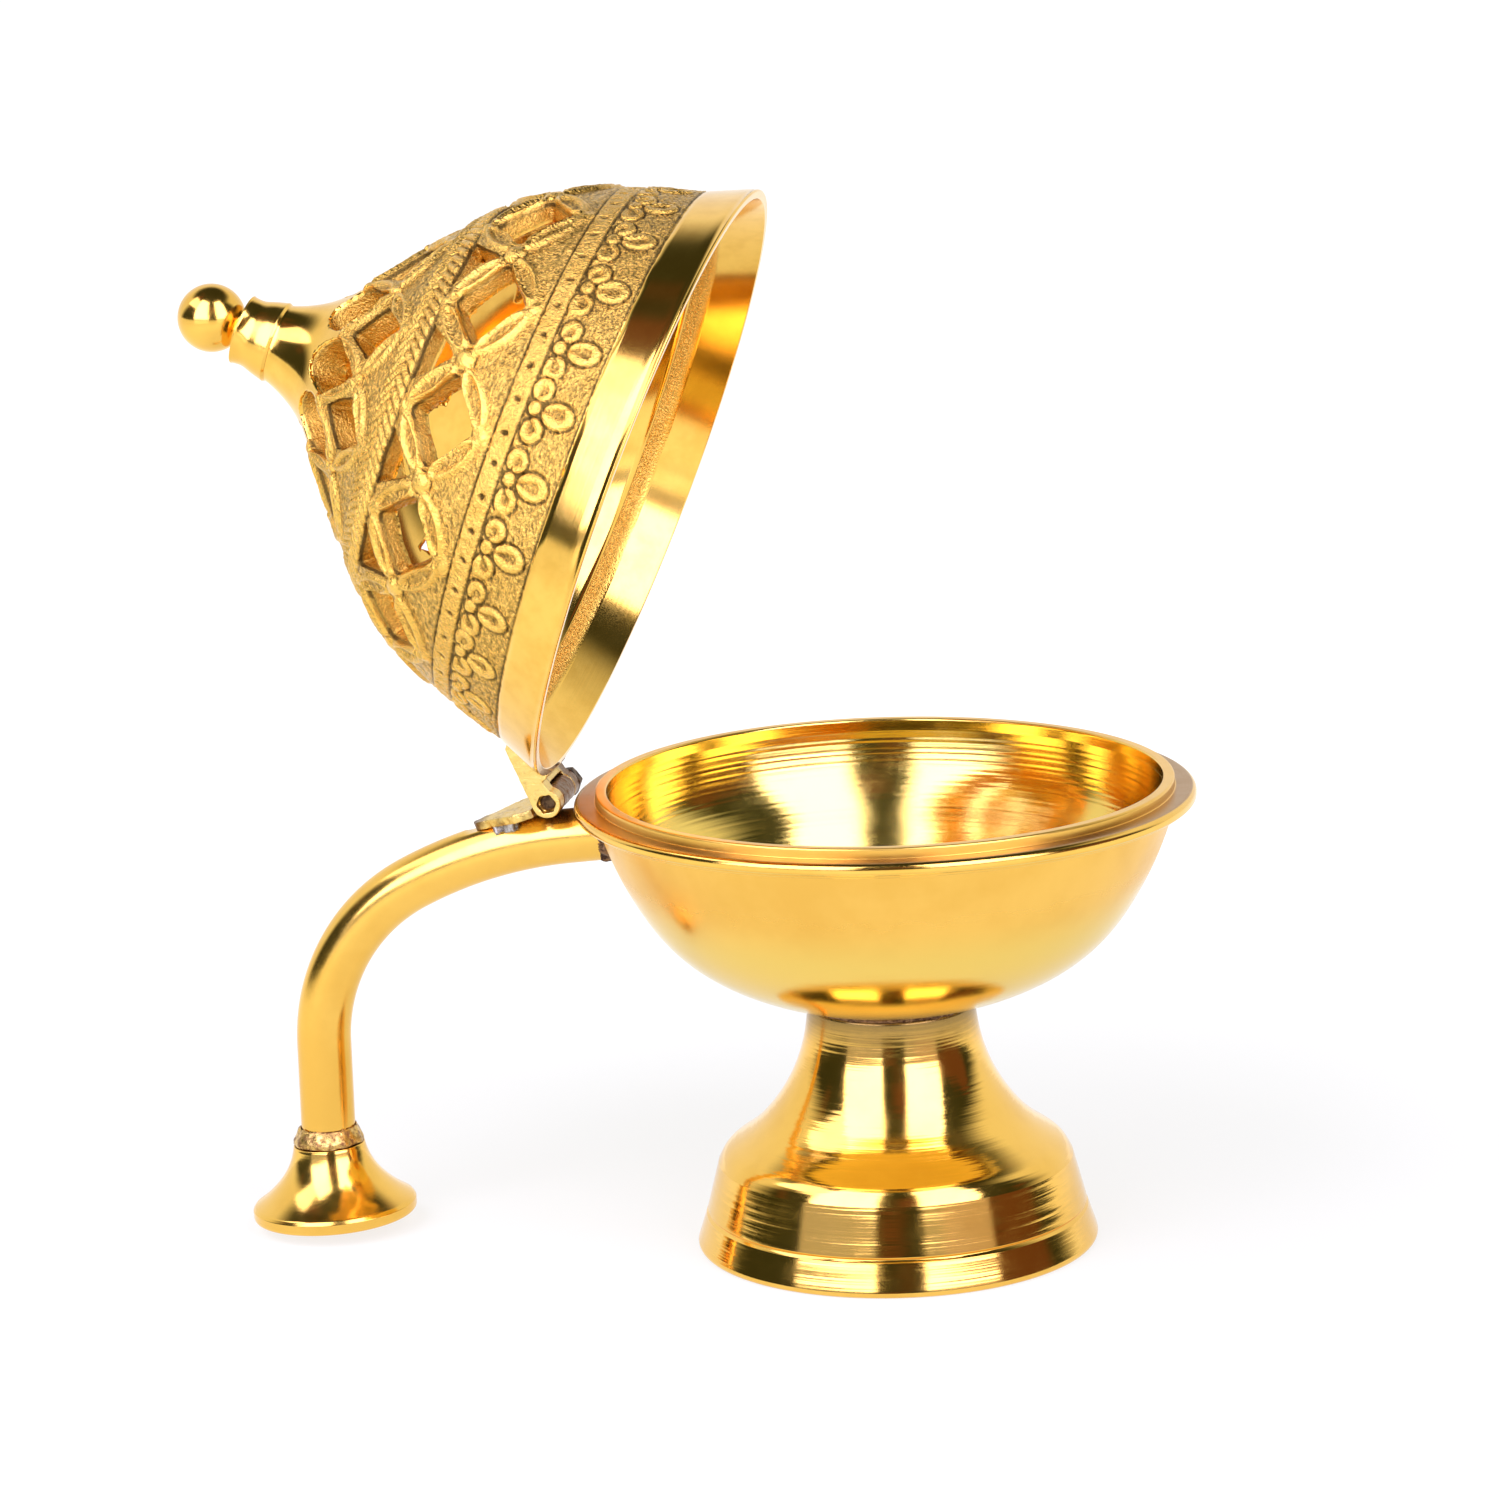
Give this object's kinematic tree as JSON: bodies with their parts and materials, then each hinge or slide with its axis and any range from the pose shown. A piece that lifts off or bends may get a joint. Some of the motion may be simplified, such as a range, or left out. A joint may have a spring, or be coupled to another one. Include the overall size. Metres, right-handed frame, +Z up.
{
  "type": "footed incense burner",
  "caption": "Brass incense burner: bowl on a turned pedestal, bent handle with its own trumpet foot, and a pierced dome lid hinged open on a bolt above the handle.",
  "frame": {"origin": "centre of the pedestal's flat bottom face, where the burner stands", "axes": "+Z up along the bowl axis, handle and hinge towards -X, hinge bolt along +Y with its head on the +Y side"},
  "size_m": [0.1548, 0.095, 0.1636],
  "materials": {
    "turned_brass": "turned and polished, with fine lathe lines",
    "cast_brass": "sand-cast relief with dark antique recesses, turned and polished plain band and neck",
    "tube_brass": "bent tube, polished",
    "filed_brass": "sawn and filed sheet, bright edges",
    "braze": "dark, lumpy brazing metal with flux stains",
    "solder": "dull silver-grey soft solder",
    "bolt": "brown oxidised steel"
  },
  "bodies": {
    "base": {"pedestal_foot": "turned_brass", "pedestal_braze": "braze", "bowl": "turned_brass", "handle_tube": "tube_brass", "handle_bowl_braze": "braze", "handle_foot": "turned_brass", "handle_foot_braze": "braze", "hinge_leaf": "filed_brass", "hinge_leaf_solder": "solder"},
    "lid": {"lid_dome": "cast_brass", "hinge_strap": "filed_brass", "hinge_strap_braze": "braze", "hinge_bolt": "bolt", "finial_collar": "turned_brass", "finial_knob": "turned_brass"}
  },
  "joints": [
    {"name": "lid_hinge", "type": "hinge", "parent": "base", "child": "lid", "pos_m": [-0.0514, 0, 0.0703], "axis": [0, 1, 0], "range_deg": [0, 69]}
  ]
}
